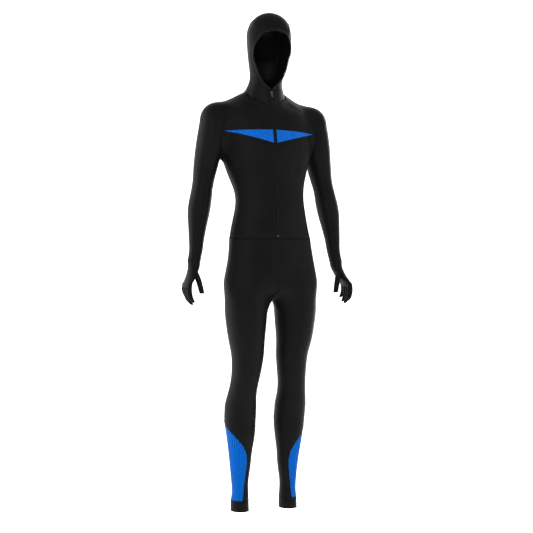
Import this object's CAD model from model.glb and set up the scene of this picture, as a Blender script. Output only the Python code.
"""Speed skating suit: the looks of a hooded one-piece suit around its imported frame."""
import math
import bmesh
import bpy
import numpy as np
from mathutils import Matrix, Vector
from mathutils.bvhtree import BVHTree
from mathutils.kdtree import KDTree


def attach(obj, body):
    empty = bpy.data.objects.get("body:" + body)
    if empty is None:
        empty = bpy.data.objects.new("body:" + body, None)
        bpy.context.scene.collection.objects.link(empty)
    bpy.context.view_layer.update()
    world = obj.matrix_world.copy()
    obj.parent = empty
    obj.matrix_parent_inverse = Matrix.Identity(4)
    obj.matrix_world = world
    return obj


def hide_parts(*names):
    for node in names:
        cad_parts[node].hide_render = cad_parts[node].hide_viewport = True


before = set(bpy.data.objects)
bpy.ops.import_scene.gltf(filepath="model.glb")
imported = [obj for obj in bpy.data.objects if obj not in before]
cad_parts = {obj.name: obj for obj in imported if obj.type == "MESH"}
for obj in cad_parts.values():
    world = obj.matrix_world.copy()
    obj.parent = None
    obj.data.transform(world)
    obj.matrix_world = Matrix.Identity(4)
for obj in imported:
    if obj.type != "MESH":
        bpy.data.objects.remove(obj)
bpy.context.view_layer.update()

bl_info = {
    "name": "Speed skating suit",
    "version": (1, 0, 0),
    "blender": (4, 5, 0),
    "location": "View3D > Sidebar > Suit",
    "description": "Builds the cloth, seams, zip and gloves of a hooded skating suit",
    "category": "Add Mesh",
}

BODY = "suit"
SIDES = {"left": 1, "right": -1}
SOLE = -1.5                        # height of the sole of the foot in the frame
TURN = 2 * math.pi
MERGE = 1e-6                       # points closer than this are one

# Knit, in metres
KNIT_PITCH = 0.0014                # from one wale of the main knit to the next
LOOP_SHARE = 0.8                   # height of a loop to its width
BINDING_PITCH = 0.0011             # the same for the binding's knit
TAPE_RIB = 0.0012                  # from one rib of the zip's tape to the next
THREAD_TWIST = 0.0009              # and from one twist of the thread to the next
CALF_MIDDLE = (0.091, 0.02)        # upright line through the calf, and its radius
CALF_RADIUS = 0.045
CALF_RIB = 0.0076                  # from one wavy rib of the calf panels to the next
CALF_WAVE = 0.021                  # length and reach of a rib's waves
CALF_SWAY = 0.0018
CALF_PEAK = (-1.125, -1.065)       # heights between which the leg's rows stand close

# Panels
LEVELS = 2                         # subdivisions of a panel
FIT_PASSES = 3                     # times that its points are brought back to the solid's
FIT_SHARE = 0.9                    # part of the way that they go each time
RIM_SHARE = 1.3                    # a rim face is no wider than this much of the cloth
RIM_SQUARE = 0.6                   # and this square to the walls beside it
CORNER = math.radians(140)         # a rim that turns more sharply keeps a crisp corner
EVEN_PASSES = 10                   # times that the rows at the calf's peak are evened
TIP_DROP = 0.005                   # of the chest stripe's upper edge from the zip to its tip
ZIP_CLEAR = 0.0062                 # where the chest stripe begins beside the zip
NEAR_STRIPE = 0.03                 # above and below it, where faces are cut
OUTER_FRONT = -0.2                 # a face whose normal has a lower y is on the outside in front

# Sewing
SEAM_REACH = 0.0011                # panels whose edges are closer than this are sewn together
BINDING_REACH = 0.007              # from the hood's edge to the edge of the binding on it
# Section of a seam's band: across in half widths, and outwards in mm
BAND = ((-1, -0.12), (-0.82, 0.22), (-0.3, 0.34), (0.3, 0.34), (0.82, 0.22), (1, -0.12))
BAND_STEP = 0.006                  # from one section of a band to the next
ROLL_STEP = 0.004                  # and of the binding's roll
ZIGZAG_SHARE = 0.72                # width of the zigzag to that of its band
ZIGZAG_LIFT = 0.0004               # of the thread's middle over the cloth

# Zip
WAIST_STOP = -0.4555               # where the zip's teeth begin, just above the stop
SLIDER_FOOT = 0.046                # and where they end, under the slider
BESIDE_ZIP = 0.0022                # on the left tape
IN_FRONT = -0.4                    # y of a place in front of the suit
TOOTH = ((2.7, 0.05), (1.8, 0.42), (0.4, 0.5), (-0.7, 0.42))     # across and outwards, in mm
TOOTH_RADIUS = 0.00058
METAL_EDGE = {"zip_slider": 0.00025, "zip_pull": 0.0003, "zip_stop": 0.0003}     # rounding
TAPE_STITCHES = 0.0066             # from the middle to the line of stitches beside the zip
STITCH_LIFT = (0.0002, 0.0003)     # of the line, and of a stitch's middle over it
STITCH_SHARE = 0.45                # half a stitch to the step from one to the next
LINE_STEP = 0.008                  # between the places that carry the line

# Stage
CAMERA = (-1.451, -3.781, -0.565)
AIM = (0, 0, -0.565)
LENS = 77.4
FLOOR_SIDE = 10
FLOOR_FRONT = -9
SWEEP = (3, 2)                     # where the floor turns up behind the suit, and its radius
WALL = 8                           # height of the backdrop's upper edge over the floor
WORLD_STRENGTH = 0.95
LIGHT_AIM = (0, 0, -0.6)
LIGHTS = (                         # name, place, power and size
    ("key", (-2.2, -3.4, 1.4), 60, (2.2, 3.0)),
    ("fill", (2.8, -2.6, 0.2), 28, (1.6, 3.0)),
    ("rim_left", (2.4, 1.6, 0.2), 60, (0.8, 3.2)),
    ("rim_right", (-2.6, 1.2, 0.2), 60, (0.8, 3.2)),
)


class SuitSizes(bpy.types.PropertyGroup):
    """Sizes that a maker would change, in metres"""
    cloth: bpy.props.FloatProperty(
        name="Cloth", description="Thickness of the knit", default=0.0015, unit="LENGTH")
    seam_width: bpy.props.FloatProperty(
        name="Seam width", description="Width of the flat stitching over a seam", default=0.0042,
        unit="LENGTH")
    stitch: bpy.props.FloatProperty(
        name="Stitch", description="Length of one stitch along a seam", default=0.0026, unit="LENGTH")
    thread: bpy.props.FloatProperty(
        name="Thread", description="Radius of the sewing thread", default=0.00028, unit="LENGTH")
    binding_roll: bpy.props.FloatProperty(
        name="Binding roll", description="Radius of the binding where it turns round the hood's edge",
        default=0.0022, unit="LENGTH")
    tooth: bpy.props.FloatProperty(
        name="Tooth pitch", description="Distance from one zip tooth to the next", default=0.0025,
        unit="LENGTH")
    chest_top: bpy.props.FloatProperty(
        name="Chest top", description="Height of the chest stripe's top edge above the soles",
        default=1.410, unit="LENGTH")
    chest_foot: bpy.props.FloatProperty(
        name="Chest foot", description="Height of the chest stripe's lowest corner above the soles",
        default=1.362, unit="LENGTH")
    chest_reach: bpy.props.FloatProperty(
        name="Chest reach", description="Distance of the chest stripe's tip from the zip",
        default=0.166, unit="LENGTH")


class SuitColours(bpy.types.PropertyGroup):
    """Colours of the suit"""
    black: bpy.props.FloatVectorProperty(
        name="Black", description="Colour of the main knit", subtype="COLOR", size=3,
        default=(0.0024, 0.0025, 0.0028), min=0, max=1)
    blue: bpy.props.FloatVectorProperty(
        name="Blue", description="Colour of the contrast knit", subtype="COLOR", size=3,
        default=(0.0, 0.088, 0.40), min=0, max=1)
    metal: bpy.props.FloatVectorProperty(
        name="Metal", description="Colour of the zip's slider and pull", subtype="COLOR", size=3,
        default=(0.085, 0.087, 0.092), min=0, max=1)


def sizes():
    return bpy.context.scene.suit_sizes


def colours():
    return bpy.context.scene.suit_colours


class Value:
    """A socket that can be used in sums"""

    def __init__(self, shader, socket):
        self.shader = shader
        self.socket = socket

    def _math(self, operation, a, b=None):
        return self.shader.node("ShaderNodeMath", {"operation": operation}, [a] if b is None else [a, b])

    def __add__(self, other):
        return self._math("ADD", self, other)

    def __sub__(self, other):
        return self._math("SUBTRACT", self, other)

    def __rsub__(self, other):
        return self._math("SUBTRACT", other, self)

    def __mul__(self, other):
        return self._math("MULTIPLY", self, other)

    __radd__ = __add__
    __rmul__ = __mul__

    def sine(self):
        return self._math("SINE", self)

    def waves(self, pitch):
        return (self * (TURN / pitch)).sine()

    def absolute(self):
        return self._math("ABSOLUTE", self)

    def angle_over(self, other):
        return self._math("ARCTAN2", self, other)

    def between(self, low, high):
        return self.shader.node(
            "ShaderNodeMapRange", {"interpolation_type": "SMOOTHSTEP"}, [self, low, high, 0.0, 1.0])


class Shader:
    """A material under construction"""

    def __init__(self, name):
        self.material = bpy.data.materials.new(name)
        self.material.use_nodes = True
        self.tree = self.material.node_tree
        self.skin = self.tree.nodes["Principled BSDF"]

    def node(self, kind, settings, values, output=0):
        made = self.tree.nodes.new(kind)
        for key, setting in settings.items():
            setattr(made, key, setting)
        for place, value in (values.items() if isinstance(values, dict) else enumerate(values)):
            self.put(made.inputs[place], value)
        return Value(self, made.outputs[output])

    def put(self, socket, value):
        if isinstance(value, Value):
            self.tree.links.new(value.socket, socket)
        else:
            socket.default_value = value

    def place(self):
        """Object coordinates in metres, as three values"""
        here = self.node("ShaderNodeTexCoord", {}, {}, "Object")
        split = self.tree.nodes.new("ShaderNodeSeparateXYZ")
        self.tree.links.new(here.socket, split.inputs[0])
        return here, [Value(self, split.outputs[i]) for i in range(3)]

    def noise(self, vector, scale, detail=3.0):
        return self.node("ShaderNodeTexNoise", {}, {"Vector": vector, "Scale": scale, "Detail": detail})

    def colour(self, factor, a, b):
        """Base colour between two colours"""
        mixed = self.node(
            "ShaderNodeMix", {"data_type": "RGBA"}, {"Factor": factor, 6: (*a, 1), 7: (*b, 1)}, 2)
        self.put(self.skin.inputs["Base Color"], mixed)

    def roughness(self, value):
        self.put(self.skin.inputs["Roughness"], value)

    def bump(self, height, strength, distance):
        normal = self.node(
            "ShaderNodeBump", {}, {"Strength": strength, "Distance": distance, "Height": height})
        self.put(self.skin.inputs["Normal"], normal)

    def fixed(self, gloss=None, **constants):
        """Sets what is the same all over the surface"""
        if gloss is not None:
            self.skin.inputs["Specular IOR Level"].default_value = gloss
        for name, value in constants.items():
            self.skin.inputs[name.replace("_", " ").title()].default_value = value


MATERIALS = {}


def scaled(colour, factor):
    return tuple(min(c * factor, 1) for c in colour)


def knit_rows(x, y, z, pitch):
    """Fine upright wales of a stretch knit, each a column of small loops"""
    return (x - y).waves(pitch) * 0.6 + z.waves(pitch * LOOP_SHARE) * 0.4


def black_knit():
    s = Shader("black_knit")
    here, (x, y, z) = s.place()
    cloudy = s.noise(here, 9.0, 4.0)
    grain = s.noise(here, 900.0, 2.0)
    black = colours().black
    s.colour(cloudy.between(0.3, 0.7), scaled(black, 0.8), scaled(black, 1.25))
    s.roughness(cloudy * 0.08 + grain * 0.06 + 0.42)
    s.bump(knit_rows(x, y, z, KNIT_PITCH) * 0.5 + grain, 0.16, 0.0003)
    s.fixed(gloss=0.055, Sheen_Weight=0.012, Sheen_Roughness=0.4)
    return s.material


def blue_knit():
    """Contrast knit with fine upright wavy ribs round the leg"""
    s = Shader("blue_knit")
    here, (x, y, z) = s.place()
    drift = s.noise(here, 34.0, 2.0)
    sway = (z * (TURN / CALF_WAVE) + drift * 5.0).sine() * CALF_SWAY
    around = (y - CALF_MIDDLE[1]).angle_over(x.absolute() - CALF_MIDDLE[0]) * CALF_RADIUS + sway
    patchy = s.noise(here, 190.0, 2.0).between(0.3, 0.62)
    groove = around.waves(CALF_RIB).between(-0.35, 0.85) * (patchy * 0.5 + 0.5)
    grain = s.noise(here, 700.0, 2.0)
    blue = colours().blue
    s.colour(groove * 0.92 + grain * 0.08, scaled(blue, 1.05), scaled(blue, 0.18))
    s.roughness(groove * 0.12 + grain * 0.06 + 0.46)
    s.bump(1 - groove + grain * 0.2, 0.45, 0.0006)
    s.fixed(gloss=0.03)
    return s.material


def chest_blue():
    """Blue chest stripe: matt colour with a mottled face"""
    s = Shader("chest_blue")
    here, (x, y, z) = s.place()
    mottle = s.noise(here, 260.0, 3.0)
    blue = colours().blue
    s.colour(mottle.between(0.35, 0.62), scaled(blue, 0.62), scaled(blue, 1.1))
    s.roughness(mottle * 0.15 + 0.45)
    s.bump(knit_rows(x, y, z, KNIT_PITCH) * 0.4 + mottle, 0.25, 0.0003)
    s.fixed(gloss=0.07)
    return s.material


def binding_knit():
    s = Shader("binding_knit")
    here, (x, y, z) = s.place()
    grain = s.noise(here, 800.0, 2.0)
    tone = scaled(colours().black, 1.2)
    s.colour(grain, scaled(tone, 0.8), scaled(tone, 1.3))
    s.roughness(grain * 0.1 + 0.38)
    s.bump(knit_rows(x, y, z, BINDING_PITCH), 0.2, 0.0003)
    s.fixed(gloss=0.07, Sheen_Weight=0.02)
    return s.material


def thread_finish():
    s = Shader("thread")
    _, (x, y, z) = s.place()
    tone = scaled(colours().black, 1.6)
    s.colour((x + y + z).waves(THREAD_TWIST).between(-1, 1), scaled(tone, 0.8), scaled(tone, 1.4))
    s.fixed(gloss=0.1, Roughness=0.5, Sheen_Weight=0.02)
    return s.material


def tape_weave():
    s = Shader("tape_weave")
    _, (_, _, z) = s.place()
    rib = z.waves(TAPE_RIB)
    black = scaled(colours().black, 0.55)
    s.colour(rib.between(-1, 1), black, scaled(black, 1.6))
    s.bump(rib, 0.3, 0.0003)
    s.fixed(gloss=0.08, Roughness=0.6)
    return s.material


def tooth_nylon():
    s = Shader("tooth_nylon")
    here, _ = s.place()
    black = scaled(colours().black, 0.9)
    s.colour(s.noise(here, 500.0, 2.0), black, scaled(black, 1.5))
    s.fixed(gloss=0.16, Roughness=0.38)
    return s.material


def plated_metal():
    s = Shader("plated_metal")
    here, _ = s.place()
    wear = s.noise(here, 420.0, 4.0)
    metal = colours().metal
    s.colour(wear.between(0.35, 0.7), scaled(metal, 0.75), scaled(metal, 1.2))
    s.roughness(wear * 0.2 + 0.22)
    s.bump(wear, 0.08, 0.0002)
    s.fixed(Metallic=0.9)
    return s.material


def stage_finish():
    s = Shader("stage")
    s.fixed(Base_Color=(0.92, 0.92, 0.92, 1), Roughness=0.9)
    s.fixed(Emission_Color=(1, 1, 1, 1), Emission_Strength=0.62)
    return s.material


MAKERS = {
    "black_knit": black_knit, "blue_knit": blue_knit, "chest_blue": chest_blue,
    "binding_knit": binding_knit, "thread": thread_finish, "tape_weave": tape_weave,
    "tooth_nylon": tooth_nylon, "plated_metal": plated_metal, "stage": stage_finish,
}


def finish(name):
    if name not in MATERIALS:
        MATERIALS[name] = MAKERS[name]()
    return MATERIALS[name]


def object_from(bm, name, material):
    mesh = bpy.data.meshes.new(name)
    for face in bm.faces:
        face.smooth = True
    bm.to_mesh(mesh)
    bm.free()
    made = bpy.data.objects.new(name, mesh)
    bpy.context.scene.collection.objects.link(made)
    mesh.materials.append(finish(material))
    return made


def node_bmesh(node):
    """A merged copy of a CAD node, with its triangles joined back into quads"""
    bm = bmesh.new()
    bm.from_mesh(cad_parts[node].data)
    bmesh.ops.remove_doubles(bm, verts=bm.verts, dist=MERGE)
    bmesh.ops.join_triangles(
        bm, faces=bm.faces, cmp_seam=False, cmp_sharp=False, cmp_uvs=False, cmp_vcols=False,
        cmp_materials=False, angle_face_threshold=math.radians(50),
        angle_shape_threshold=math.radians(70), topology_influence=1.0)
    return bm


def rim_of(bm):
    """The narrow faces along the cut edges of a piece, which stand square to its walls"""
    rim = set()
    for face in bm.faces:
        longest = max(e.calc_length() for e in face.edges)
        if face.calc_area() / longest < sizes().cloth * RIM_SHARE:
            long_edges = [e for e in face.edges if e.calc_length() > longest / 2]
            beside = [f for e in long_edges for f in e.link_faces if f != face]
            if all(abs(f.normal.dot(face.normal)) < RIM_SQUARE for f in beside):
                rim.add(face)
    return rim


def crease_rim(bm, rim):
    """Keeps the edge of a panel crisp while the rest is smoothed"""
    layer = bm.edges.layers.float.new("crease_edge")
    for edge in bm.edges:
        if sum(f in rim for f in edge.link_faces) == 1:
            edge[layer] = 1
    for vert in bm.verts:
        runs = [e for e in vert.link_edges if e[layer] == 1]
        if len(runs) != 2:
            continue
        a, b = [(e.other_vert(vert).co - vert.co).normalized() for e in runs]
        if a.dot(b) > math.cos(CORNER):
            for edge in vert.link_edges:
                if all(f in rim for f in edge.link_faces):
                    edge[layer] = 1


def subdivided(piece):
    """Smooths a mesh so that its own points stay on the smooth surface"""
    target = np.array([v.co for v in piece.data.vertices])
    held = target.copy()
    modifier = piece.modifiers.new("smooth", "SUBSURF")
    modifier.levels = modifier.render_levels = LEVELS
    for _ in range(FIT_PASSES):
        piece.data.vertices.foreach_set("co", held.ravel())
        piece.data.update()
        bpy.context.view_layer.update()
        smooth = piece.evaluated_get(bpy.context.evaluated_depsgraph_get())
        now = np.array([v.co for v in smooth.data.vertices[:len(target)]])
        held += (target - now) * FIT_SHARE
    made = bpy.data.meshes.new_from_object(smooth)
    piece.modifiers.clear()
    old, piece.data = piece.data, made
    made.name = piece.name
    bpy.data.meshes.remove(old)
    return piece


def node_area(node):
    """Area of one side of a cloth node, which is what its cut covers"""
    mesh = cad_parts[node].data
    mesh.calc_loop_triangles()
    return sum(t.area for t in mesh.loop_triangles) / 2


# Bones of the figure that the cloth stands around, from which outward is told
AXES = {
    "torso": [(0, -0.035, -0.47), (0, -0.026, -0.30), (0, 0.002, -0.20), (0, 0.022, -0.10), (0, 0.04, 0.0),
              (0, 0.03, 0.06)],
    "hood": [(0, 0.03, 0.0), (0, 0.0, 0.114), (0, -0.031, 0.19), (0, -0.033, 0.235)],
    "arm": [(0.06, 0.035, 0.0), (0.14, 0.03, -0.045), (0.188, 0.024, -0.07), (0.205, 0.027, -0.16),
            (0.232, 0.022, -0.30), (0.252, 0.01, -0.42), (0.27, -0.004, -0.56), (0.299, -0.02, -0.63),
            (0.298, -0.022, -0.69)],
    "leg": [(0.02, -0.035, -0.46), (0.045, -0.045, -0.54), (0.086, -0.045, -0.64), (0.089, -0.039, -0.82),
            (0.085, -0.023, -0.933), (0.094, 0.01, -1.06), (0.091, 0.017, -1.16), (0.09, 0.025, -1.27),
            (0.091, 0.025, -1.43)],
    "thumb": [(0.272, -0.022, -0.578), (0.256, -0.034, -0.634), (0.251, -0.0365, -0.66)],
}


def outward(kind, side, point):
    """From the nearest bone to a point of the cloth"""
    best = None
    run = [Vector((x * side, y, z)) for x, y, z in AXES[kind]]
    for a, b in zip(run, run[1:]):
        t = min(max((point - a).dot(b - a) / (b - a).length_squared, 0), 1)
        away = point - a.lerp(b, t)
        if best is None or away.length < best.length:
            best = away
    return best.normalized()


# Cut pieces: bone, finish, record slot, flat width and length of the cut in metres
CUTS = {
    "front": ("torso", "black_knit", "black_knit", (0.235, 0.52)),
    "back": ("torso", "black_knit", "black_knit", (0.46, 0.60)),
    "sleeve": ("arm", "black_knit", "black_knit", (0.36, 0.72)),
    "leg": ("leg", "black_knit", "black_knit", (0.50, 1.00)),
    "calf_panel": ("leg", "blue_knit", "blue_knit", (0.19, 0.31)),
    "ankle_cuff": ("leg", "black_knit", "black_knit", (0.20, 0.04)),
    "hood_side": ("hood", "black_knit", "black_knit", (0.26, 0.30)),
    "hood_crown": ("hood", "black_knit", "black_knit", (0.13, 0.48)),
    "face_binding": ("hood", "binding_knit", "binding", (0.0102, 0.60)),
    "zip_tape": ("torso", "tape_weave", "zip_tape", (0.0102, 0.57)),
    "glove_back": ("arm", "black_knit", "black_knit", (0.17, 0.17)),
    "glove_palm": ("arm", "black_knit", "black_knit", (0.17, 0.17)),
    "glove_thumb": ("thumb", "black_knit", "black_knit", (0.07, 0.07)),
}
STRETCH = 1.12                     # worn area of the knit to its cut


def cut_of(node):
    """Name of the cut and side of the body of a node"""
    for name, side in SIDES.items():
        if node.endswith("_" + name):
            return node[:-len(name) - 1], side
    return node, 1


# Soft folds of the worn cloth, for the left side: centre, direction along the fold, outward
# direction, half length, half width and depth in millimetres; a negative depth is a ridge
FOLDS = [
    ("arm", (0.206, -0.012, -0.290), (1, 0.1, 0.16), (0, -1, 0), 34, 7, 1.5),
    ("arm", (0.212, -0.014, -0.272), (1, 0.0, -0.22), (0, -1, 0), 25, 6, 1.0),
    ("arm", (0.216, -0.012, -0.313), (1, 0.0, 0.30), (0, -1, 0), 22, 6, -0.9),
    ("arm", (0.236, 0.066, -0.300), (1, 0.0, -0.14), (0, 1, 0), 26, 8, 1.0),
    ("arm", (0.240, 0.064, -0.327), (1, 0.0, 0.20), (0, 1, 0), 18, 6, 0.7),
    ("arm", (0.190, 0.006, -0.190), (0.25, -0.9, 0.5), (-1, 0, 0), 30, 8, 1.2),
    ("arm", (0.188, 0.040, -0.214), (0.2, 0.9, 0.42), (-1, 0, 0), 24, 7, 0.9),
    ("arm", (0.255, -0.024, -0.520), (1, 0.0, 0.12), (0, -1, 0), 18, 4.5, 0.8),
    ("arm", (0.262, 0.024, -0.506), (1, 0.0, -0.20), (0, 1, 0), 16, 4, 0.7),
    ("torso", (0.150, -0.030, -0.205), (0.35, -0.2, 0.9), (0.8, -0.6, 0), 40, 9, 1.2),
    ("torso", (0.148, 0.068, -0.215), (0.3, 0.25, 0.9), (0.8, 0.6, 0), 36, 9, 1.1),
    ("torso", (0.072, -0.098, -0.425), (1, 0.0, 0.10), (0, -1, 0), 52, 9, 1.0),
    ("torso", (0.052, -0.098, -0.392), (1, 0.0, -0.16), (0, -1, 0), 34, 8, 0.7),
    ("torso", (0.080, 0.050, -0.410), (1, 0.0, 0.08), (0, 1, 0), 60, 10, 1.3),
    ("torso", (0.060, 0.060, -0.366), (1, 0.0, -0.10), (0, 1, 0), 44, 9, 0.9),
    ("hood", (0.050, -0.022, 0.072), (0.5, 0.8, 0.5), (0.8, -0.6, 0), 32, 7, 1.0),
    ("hood", (0.052, 0.010, 0.096), (0.3, 0.9, 0.42), (1, 0, 0), 26, 6, 0.8),
    ("hood", (0.036, 0.062, 0.100), (1, 0.1, 0.06), (0, 1, 0), 34, 8, 1.1),
    ("leg", (0.045, -0.108, -0.560), (0.72, 0.0, -0.62), (0, -1, 0), 46, 9, 1.3),
    ("leg", (0.066, -0.104, -0.528), (0.9, 0.0, -0.36), (0, -1, 0), 40, 9, 0.8),
    ("leg", (0.052, 0.052, -0.664), (1, 0.0, 0.14), (0, 1, 0), 40, 9, 1.4),
    ("leg", (0.030, -0.050, -0.640), (0.1, -0.9, -0.36), (-1, 0, 0), 34, 8, 1.0),
    ("leg", (0.086, 0.030, -0.945), (1, 0.0, 0.06), (0, 1, 0), 34, 8, 1.5),
    ("leg", (0.092, 0.034, -0.970), (1, 0.0, -0.16), (0, 1, 0), 26, 6, 1.0),
    ("leg", (0.082, 0.028, -0.918), (1, 0.0, 0.20), (0, 1, 0), 24, 7, -0.9),
    ("leg", (0.064, -0.070, -0.966), (0.9, 0.0, -0.30), (-0.3, -1, 0), 24, 7, 0.8),
    ("leg", (0.104, -0.070, -0.905), (0.9, 0.0, 0.24), (0.3, -1, 0), 22, 7, 0.7),
    ("leg", (0.090, -0.008, -1.352), (1, 0.0, 0.08), (0, -1, 0), 20, 5, 0.7),
    ("leg", (0.090, 0.058, -1.336), (1, 0.0, -0.10), (0, 1, 0), 20, 5, 0.9),
]
FOLD_BOW = 0.35                    # bend of a fold, in half widths at its ends
FOLD_NEAR = 0.03                   # depth within which the cloth belongs to a fold
BANK_HEIGHT = 0.35                 # low banks along both sides of a fold, to its depth
BANK_PLACE = 1.9                   # and their place and width, in half widths
BANK_WIDTH = 0.8
UNEVEN = {1: (1.0, 1.0, 0.0), -1: (0.86, 1.15, 0.006)}     # depth, length and height of a side's folds


def fold_depth(points, kind, side):
    """Height of the folds at many points, in metres"""
    height = np.zeros(len(points))
    for fold_side in ((1, -1) if kind in ("torso", "hood") else (side,)):
        depth_share, length_share, drop = UNEVEN[fold_side]
        for bone, centre, along, out, length, width, depth in FOLDS:
            if bone != kind:
                continue
            flip = np.array((fold_side, 1, 1))
            run = np.array(along) * flip
            run = run / np.linalg.norm(run)
            face = np.array(out) * flip
            face = face - run * face.dot(run)
            face = face / np.linalg.norm(face)
            across = np.cross(run, face)
            away = points - (np.array(centre) * flip - (0, 0, drop))
            u = away @ run / (length * length_share / 1000)
            v = away @ across / (width / 1000) + FOLD_BOW * u * u
            near = np.exp(-np.square(away @ face / FOLD_NEAR))
            fade = np.square(np.clip(1 - u * u, 0, 1))
            banks = np.exp(-np.square((np.abs(v) - BANK_PLACE) / BANK_WIDTH))
            shape = BANK_HEIGHT * banks - np.exp(-v * v)
            height += depth * depth_share / 1000 * shape * fade * near
    return height


def mark_sides(bm, rim, kind, side):
    """Notes on each point whether it is on the outer or inner wall, and its outward direction"""
    out = bm.verts.layers.float_vector.new("out")
    wall = bm.verts.layers.float.new("wall")
    for vert in bm.verts:
        total = Vector()
        for face in vert.link_faces:
            if face not in rim:
                total += face.normal * face.calc_area()
        if total.length == 0:
            total = vert.normal.copy()
        total.normalize()
        facing = 1 if total.dot(outward(kind, side, vert.co)) > 0 else -1
        vert[out] = total * facing
        vert[wall] = facing


def attribute(mesh, name, width):
    values = np.zeros(len(mesh.vertices) * width)
    mesh.attributes[name].data.foreach_get("vector" if width == 3 else "value", values)
    return values.reshape(-1, width) if width == 3 else values


def positions(mesh):
    values = np.zeros(len(mesh.vertices) * 3)
    mesh.vertices.foreach_get("co", values)
    return values.reshape(-1, 3)


def even_peak(piece):
    """Evens the leg where its close rows at the calf panel's peak would show as a line"""
    bm = bmesh.new()
    bm.from_mesh(piece.data)
    layer = bm.edges.layers.float["crease_edge"]
    inner = [v for v in bm.verts if CALF_PEAK[0] < v.co.z < CALF_PEAK[1]
             and not any(e[layer] > 0 for e in v.link_edges)]
    for _ in range(EVEN_PASSES):
        bmesh.ops.smooth_vert(bm, verts=inner, factor=0.5, use_axis_x=True, use_axis_y=True, use_axis_z=False)
    bm.to_mesh(piece.data)
    bm.free()


def sewn(node):
    """One cut piece of the suit, smoothed, folded and declared"""
    cut, side = cut_of(node)
    kind, material, slot, flat = CUTS[cut]
    bm = node_bmesh(node)
    bm.normal_update()
    rim = rim_of(bm)
    mark_sides(bm, rim, kind, side)
    crease_rim(bm, rim)
    piece = subdivided(object_from(bm, f"{node}_cloth", material))
    if cut == "leg":
        even_peak(piece)
    if not cut.startswith("glove"):
        place = positions(piece.data)
        out = attribute(piece.data, "out", 3)
        out /= np.maximum(np.linalg.norm(out, axis=1), 1e-9)[:, None]
        place += out * fold_depth(place, kind, side)[:, None]
        piece.data.vertices.foreach_set("co", place.ravel())
        piece.data.update()
    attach(piece, BODY)
    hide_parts(node)
    node_area(node) / STRETCH
    return piece


def chest_stripe(piece, side):
    """Colours a tapering stripe on the outer face of a front piece, with straight edges"""
    s = sizes()
    bm = bmesh.new()
    bm.from_mesh(piece.data)
    top = s.chest_top + SOLE
    tip = top - TIP_DROP
    foot = s.chest_foot + SOLE
    reach = s.chest_reach
    edges = [
        ((reach * side, 0, tip), Vector((TIP_DROP * side, 0, reach)).normalized()),
        ((reach * side, 0, tip), Vector(((foot - tip) * side, 0, reach)).normalized()),
        ((ZIP_CLEAR * side, 0, 0), Vector((1, 0, 0))),
    ]
    for point, normal in edges:
        near = [f for f in bm.faces
                if foot - NEAR_STRIPE < f.calc_center_median().z < top + NEAR_STRIPE]
        geometry = list({v for f in near for v in f.verts}) + list({e for f in near for e in f.edges}) + near
        bmesh.ops.bisect_plane(bm, geom=geometry, dist=MERGE, plane_co=point, plane_no=normal)
    piece.data.materials.append(finish("chest_blue"))
    for face in bm.faces:
        p = face.calc_center_median()
        across = p.x * side
        t = across / reach
        below_top = p.z < top + (tip - top) * t
        above_foot = p.z > foot + (tip - foot) * t
        if face.normal.y < OUTER_FRONT and ZIP_CLEAR < across < reach and below_top and above_foot:
            face.material_index = 1
    bm.to_mesh(piece.data)
    bm.free()


class Outline:
    """Outer edges of a sewn piece as runs of points with their outward directions"""

    def __init__(self, piece):
        mesh = piece.data
        wall = attribute(mesh, "wall", 1)
        self.out = attribute(mesh, "out", 3)
        self.place = positions(mesh)
        crease = np.zeros(len(mesh.edges))
        mesh.attributes["crease_edge"].data.foreach_get("value", crease)
        ends = np.zeros(len(mesh.edges) * 2, dtype=int)
        mesh.edges.foreach_get("vertices", ends)
        ends = ends.reshape(-1, 2)
        keep = (crease > 0.5) & (wall[ends[:, 0]] > 0.9) & (wall[ends[:, 1]] > 0.9)
        self.next = {}
        for a, b in ends[keep]:
            self.next.setdefault(int(a), []).append(int(b))
            self.next.setdefault(int(b), []).append(int(a))
        self.tree = KDTree(max(len(self.next), 1))
        self.points = sorted(self.next)
        for i in self.points:
            self.tree.insert(self.place[i], i)
        self.tree.balance()

    def shared_with(self, other, gap=SEAM_REACH):
        """Runs of the middle of the seam between two pieces"""
        middle = {}
        for i in self.points:
            here = Vector(self.place[i])
            j = other.tree.find(here)[1]
            if j is None:
                continue
            base = Vector(other.place[j])
            near = [base]
            for n in other.next[j]:
                along = Vector(other.place[n]) - base
                t = min(max((here - base).dot(along) / max(along.length_squared, 1e-12), 0), 1)
                near.append(base + along * t)
            beside = min(near, key=lambda p: (p - here).length)
            if (beside - here).length < gap:
                middle[i] = ((here + beside) / 2, Vector(self.out[i] + other.out[j]).normalized())
        runs, seen = [], set()
        starts = [i for i in middle if sum(n in middle for n in self.next[i]) != 2]
        for start in starts + list(middle):
            if start in seen:
                continue
            run, here = [start], start
            seen.add(start)
            while True:
                ahead = [n for n in self.next[here] if n in middle and n not in seen]
                if not ahead:
                    break
                here = ahead[0]
                seen.add(here)
                run.append(here)
            if start in self.next[here] and len(run) > 4:
                run.append(start)
            if len(run) > 3:
                runs.append([middle[i] for i in run])
        return runs


def resampled(run, pitch):
    """Points and outward directions at even steps along a run"""
    lengths = [0.0]
    for (a, _), (b, _) in zip(run, run[1:]):
        lengths.append(lengths[-1] + (b - a).length)
    count = max(int(round(lengths[-1] / pitch)), 2)
    found, i = [], 0
    for k in range(count + 1):
        goal = lengths[-1] * k / count
        while i < len(run) - 2 and lengths[i + 1] < goal:
            i += 1
        t = (goal - lengths[i]) / max(lengths[i + 1] - lengths[i], 1e-9)
        t = min(max(t, 0), 1)
        found.append((run[i][0].lerp(run[i + 1][0], t), run[i][1].lerp(run[i + 1][1], t).normalized()))
    return found


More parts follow.
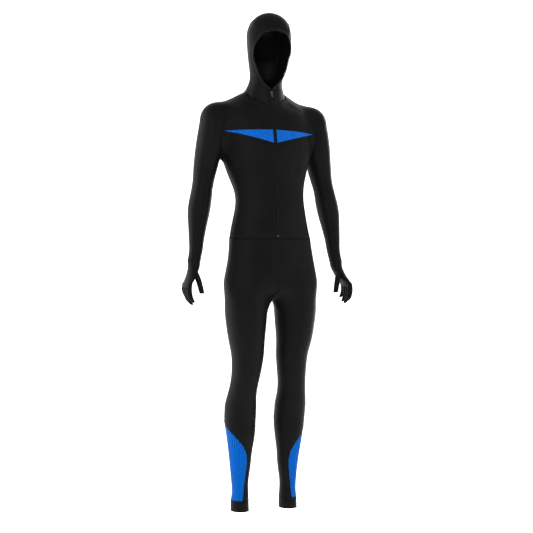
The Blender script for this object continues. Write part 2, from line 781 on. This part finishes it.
def frames(run):
    """Adds the sideways direction to each point of a run"""
    made = []
    for k, (p, out) in enumerate(run):
        along = (run[min(k + 1, len(run) - 1)][0] - run[max(k - 1, 0)][0]).normalized()
        made.append((p, out, out.cross(along).normalized()))
    return made


def skin(bm, rows, closed=False):
    """Faces between rows of points"""
    made = [[bm.verts.new(p) for p in row] for row in rows]
    for low, high in zip(made, made[1:]):
        for i in range(len(low) if closed else len(low) - 1):
            j = (i + 1) % len(low)
            bm.faces.new((low[i], low[j], high[j], high[i]))
    return made


def seam_band(bm, run, width):
    """Low rounded band of flat stitching"""
    half = width / 2
    rows = []
    for p, out, side in frames(run):
        rows.append([p + side * (half * x) + out * (y / 1000) for x, y in BAND])
    skin(bm, rows)


def tube(bm, centres, radius, sides):
    """Round thread through a run of (point, outward) pairs"""
    rows = []
    for p, out, side in frames(centres):
        rows.append([p + out * (radius * math.cos(TURN * k / sides))
                     + side * (radius * math.sin(TURN * k / sides)) for k in range(sides)])
    made = skin(bm, rows, closed=True)
    bm.faces.new(list(reversed(made[0])))
    bm.faces.new(made[-1])


def zigzag(run, stitch, width, lift):
    """Thread of a zigzag stitch over a run"""
    points = []
    for k, (p, out, side) in enumerate(frames(resampled(run, stitch / 2))):
        swing = (1 if k % 2 else -1) * width / 2
        points.append((p + side * swing + out * lift, out))
    return points


SEWN_CUTS = (
    "front", "back", "sleeve", "leg", "calf_panel", "ankle_cuff", "hood_side", "hood_crown",
    "face_binding")
OUTLINES = {}                      # of the sewn pieces, by node

# Seams between cut pieces: for each side, or across the middle
SIDE_SEAMS = [
    ("front", "back"), ("front", "sleeve"), ("back", "sleeve"), ("front", "leg"), ("back", "leg"),
    ("leg", "calf_panel"), ("leg", "ankle_cuff"), ("calf_panel", "ankle_cuff"),
    ("hood_side", "hood_crown"), ("hood_side", "front"), ("hood_side", "back"), ("hood_side", "sleeve"),
    ("sleeve", "glove_back"), ("sleeve", "glove_palm"),
]
MIDDLE_SEAMS = [("leg_left", "leg_right"), ("hood_crown", "back")]


def seam_runs(outlines):
    """All sewn seams of the suit"""
    pairs = list(MIDDLE_SEAMS)
    for a, b in SIDE_SEAMS:
        for side in SIDES:
            pairs.append(tuple(n if n in outlines else f"{n}_{side}" for n in (a, b)))
    for a, b in pairs:
        yield from outlines[a].shared_with(outlines[b])


def zip_line(low, high, pitch):
    """Points down the middle of the zip with their outward directions"""
    tree = tree_of("zip_tape_left")
    run = []
    count = int((high - low) / pitch)
    for k in range(count + 1):
        z = low + (high - low) * k / count
        hit, normal, _, _ = tree.ray_cast(Vector((BESIDE_ZIP, IN_FRONT, z)), Vector((0, 1, 0)))
        if hit is not None:
            normal.x = 0
            run.append((Vector((0, hit.y, z)), normal.normalized()))
    return run


def tree_of(node):
    bm = bmesh.new()
    bm.from_mesh(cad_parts[node].data)
    tree = BVHTree.FromBMesh(bm)
    bm.free()
    return tree


def bevelled(node, body):
    """A small hard part with its edges rounded"""
    bm = bmesh.new()
    bm.from_mesh(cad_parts[node].data)
    bmesh.ops.remove_doubles(bm, verts=bm.verts, dist=MERGE)
    bmesh.ops.dissolve_limit(bm, angle_limit=math.radians(2), verts=bm.verts, edges=bm.edges)
    sharp = [e for e in bm.edges if e.is_manifold and e.calc_face_angle() > math.radians(35)]
    bmesh.ops.bevel(
        bm, geom=sharp, offset=METAL_EDGE[node], offset_type="OFFSET", affect="EDGES", segments=3,
        profile=0.5, clamp_overlap=True, material=-1)
    bmesh.ops.triangulate(bm, faces=[f for f in bm.faces if len(f.verts) > 4])
    piece = object_from(bm, f"{node}_metal", "plated_metal")
    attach(piece, body)
    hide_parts(node)


def plain(bm, name, material):
    """A finished mesh that lies on the suit"""
    piece = object_from(bm, name, material)
    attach(piece, BODY)


class SUIT_OT_cloth(bpy.types.Operator):
    """Sew the cut pieces of the suit, with their folds and the chest stripe"""
    bl_idname = "suit.cloth"
    bl_label = "Cloth"

    def execute(self, context):
        for node in sorted(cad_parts):
            cut, side = cut_of(node)
            if cut in CUTS and not cut.startswith("glove"):
                piece = sewn(node)
                if cut in SEWN_CUTS:
                    OUTLINES[node] = Outline(piece)
                if cut == "front":
                    chest_stripe(piece, side)
        return {"FINISHED"}


class SUIT_OT_gloves(bpy.types.Operator):
    """Make the joined gloves with their open thumbs"""
    bl_idname = "suit.gloves"
    bl_label = "Gloves"

    def execute(self, context):
        for node in sorted(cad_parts):
            if node.startswith("glove"):
                piece = sewn(node)
                if not node.startswith("glove_thumb"):
                    OUTLINES[node] = Outline(piece)
        return {"FINISHED"}


class SUIT_OT_seams(bpy.types.Operator):
    """Lay the flat seams over the joins, with a zigzag thread along each"""
    bl_idname = "suit.seams"
    bl_label = "Seams"

    def execute(self, context):
        s = sizes()
        bands, threads = bmesh.new(), bmesh.new()
        for run in seam_runs(OUTLINES):
            band = resampled(run, BAND_STEP)
            if len(band) < 3:
                continue
            seam_band(bands, band, s.seam_width)
            line = zigzag(run, s.stitch, s.seam_width * ZIGZAG_SHARE, ZIGZAG_LIFT)
            tube(threads, line, s.thread, sides=4)
        plain(bands, "seam_bands", "black_knit")
        plain(threads, "seam_threads", "thread")
        roll = bmesh.new()
        for node in ("hood_side_left", "hood_side_right", "hood_crown"):
            for run in OUTLINES[node].shared_with(OUTLINES["face_binding"], gap=BINDING_REACH):
                tube(roll, resampled(run, ROLL_STEP), s.binding_roll, sides=10)
        plain(roll, "face_binding_roll", "binding_knit")
        return {"FINISHED"}


class SUIT_OT_zip(bpy.types.Operator):
    """Make the zip's teeth, slider, pull and stop"""
    bl_idname = "suit.zip"
    bl_label = "Zip"

    def execute(self, context):
        s = sizes()
        bm = bmesh.new()
        for k, (p, out) in enumerate(zip_line(WAIST_STOP, SLIDER_FOOT, s.tooth / 2)):
            side = 1 if k % 2 else -1
            run = [(p + Vector((side * x / 1000, 0, 0)) + out * (y / 1000), out)
                   for x, y in TOOTH]
            tube(bm, run, TOOTH_RADIUS, sides=6)
        plain(bm, "zip_teeth", "tooth_nylon")
        stitches = bmesh.new()
        for side in SIDES.values():
            line = [(p + Vector((side * TAPE_STITCHES, 0, 0)) + out * STITCH_LIFT[0], out)
                    for p, out in zip_line(WAIST_STOP, SLIDER_FOOT, LINE_STEP)]
            for k, (p, out) in enumerate(resampled(line, s.stitch)):
                if k % 2 == 0:
                    step = Vector((0, 0, s.stitch * STITCH_SHARE))
                    stitch = [(p - step, out), (p + out * STITCH_LIFT[1], out), (p + step, out)]
                    tube(stitches, stitch, s.thread, sides=4)
        plain(stitches, "zip_stitches", "thread")
        bevelled("zip_slider", BODY)
        bevelled("zip_pull", "pull")
        bevelled("zip_stop", BODY)
        return {"FINISHED"}


class SUIT_OT_stage(bpy.types.Operator):
    """Set the camera of the photograph, the pale floor and the soft lights"""
    bl_idname = "suit.stage"
    bl_label = "Stage"

    def execute(self, context):
        scene = context.scene
        camera = bpy.data.objects.new("camera", bpy.data.cameras.new("camera"))
        scene.collection.objects.link(camera)
        camera.location = CAMERA
        camera.rotation_euler = (Vector(AIM) - camera.location).to_track_quat("-Z", "Y").to_euler()
        camera.data.lens = LENS
        camera.data.sensor_width = 36
        scene.camera = camera

        bm = bmesh.new()
        turn, radius = SWEEP
        curve = [(turn + radius * math.sin(a), radius - radius * math.cos(a))
                 for a in np.linspace(0, TURN / 4, 12)]
        profile = [(FLOOR_FRONT, 0), *curve, (turn + radius, WALL)]
        skin(bm, [[Vector((x, y, SOLE + z)) for x in (-FLOOR_SIDE, 0, FLOOR_SIDE)] for y, z in profile])
        floor = object_from(bm, "stage_floor", "stage")

        world = bpy.data.worlds.new("studio")
        scene.world = world
        world.use_nodes = True
        world.node_tree.nodes["Background"].inputs["Color"].default_value = (1, 1, 1, 1)
        world.node_tree.nodes["Background"].inputs["Strength"].default_value = WORLD_STRENGTH
        for name, place, energy, size in LIGHTS:
            light = bpy.data.objects.new(name, bpy.data.lights.new(name, "AREA"))
            scene.collection.objects.link(light)
            light.location = place
            aim = Vector(LIGHT_AIM) - light.location
            light.rotation_euler = aim.to_track_quat("-Z", "Y").to_euler()
            light.data.shape = "RECTANGLE"
            light.data.size, light.data.size_y = size
            light.data.energy = energy
        scene.view_settings.view_transform = "Standard"
        return {"FINISHED"}


class SUIT_PT_panel(bpy.types.Panel):
    """Sizes, colours and steps of the suit"""
    bl_label = "Speed skating suit"
    bl_space_type = "VIEW_3D"
    bl_region_type = "UI"
    bl_category = "Suit"

    def draw(self, context):
        for group in (context.scene.suit_sizes, context.scene.suit_colours):
            for name in group.__annotations__:
                self.layout.prop(group, name)
        for operator in OPERATORS:
            self.layout.operator(operator.bl_idname)


OPERATORS = (SUIT_OT_cloth, SUIT_OT_gloves, SUIT_OT_seams, SUIT_OT_zip, SUIT_OT_stage)
CLASSES = (SuitSizes, SuitColours, *OPERATORS, SUIT_PT_panel)


def register():
    for cls in CLASSES:
        bpy.utils.register_class(cls)
    bpy.types.Scene.suit_sizes = bpy.props.PointerProperty(type=SuitSizes)
    bpy.types.Scene.suit_colours = bpy.props.PointerProperty(type=SuitColours)


def unregister():
    del bpy.types.Scene.suit_colours
    del bpy.types.Scene.suit_sizes
    for cls in reversed(CLASSES):
        bpy.utils.unregister_class(cls)


def main():
    register()
    bpy.ops.suit.cloth()
    bpy.ops.suit.gloves()
    bpy.ops.suit.seams()
    bpy.ops.suit.zip()
    bpy.ops.suit.stage()


if __name__ == "__main__":
    main()
